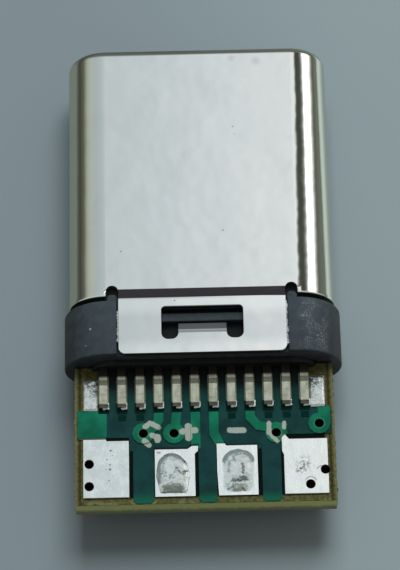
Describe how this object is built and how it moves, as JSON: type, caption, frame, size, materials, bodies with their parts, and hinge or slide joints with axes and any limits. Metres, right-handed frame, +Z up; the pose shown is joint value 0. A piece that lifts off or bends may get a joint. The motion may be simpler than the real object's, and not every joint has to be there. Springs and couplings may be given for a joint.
{
  "type": "usb-c cable plug on a solder board",
  "caption": "Reversible cable plug: a drawn metal shell with sprung tabs over a black collar, with rows of contacts soldered to a small green board with wire pads.",
  "frame": {"origin": "middle of the bounding box, on the underside that lies on a table", "axes": "+Y along the plug, out of its mouth; +Z up, out of the side with the wire pads; +X to the right when the board is nearest"},
  "size_m": [0.0086, 0.0152, 0.0028],
  "materials": {
    "shell_steel": "bright nickel plate, drawn and tumbled",
    "latch_steel": "bare stamped spring steel",
    "contact_metal": "tin and nickel plated strip, satin",
    "black_moulding": "black moulded insulator, lightly scuffed",
    "laminate": "glass epoxy laminate, cut edges bare",
    "solder_mask": "dark green lacquer, brighter over copper",
    "copper_foil": "dull tarnished copper foil",
    "tinned_pad": "levelled tin over copper",
    "solder": "remelted tin solder, uneven"
  },
  "bodies": {
    "root": {"shell": "shell_steel", "rear_collar": "black_moulding", "front_housing": "black_moulding", "upper_wafer": "black_moulding", "lower_wafer": "black_moulding", "latch_plate": "latch_steel", "screening_spring_top": "latch_steel", "screening_spring_bottom": "latch_steel", "circuit_board": "laminate", "copper_top": "copper_foil", "copper_bottom": "copper_foil", "solder_mask_top": "solder_mask", "solder_mask_bottom": "solder_mask", "solder_joints_top": "solder", "solder_joints_bottom": "solder", "ground_solder_left": "solder", "ground_solder_right": "solder", "solder_bead_2": "solder", "solder_bead_3": "solder", "wire_pad_1": "tinned_pad", "wire_pad_2": "tinned_pad", "wire_pad_3": "tinned_pad", "wire_pad_4": "tinned_pad", "contact_a1": "contact_metal", "contact_a2": "contact_metal", "contact_a3": "contact_metal", "contact_a4": "contact_metal", "contact_a5": "contact_metal", "contact_a6": "contact_metal", "contact_a7": "contact_metal", "contact_a8": "contact_metal", "contact_a9": "contact_metal", "contact_a10": "contact_metal", "contact_a11": "contact_metal", "contact_a12": "contact_metal", "contact_b1": "contact_metal", "contact_b2": "contact_metal", "contact_b3": "contact_metal", "contact_b4": "contact_metal", "contact_b5": "contact_metal", "contact_b6": "contact_metal", "contact_b7": "contact_metal", "contact_b8": "contact_metal", "contact_b9": "contact_metal", "contact_b10": "contact_metal", "contact_b11": "contact_metal", "contact_b12": "contact_metal"}
  },
  "joints": []
}
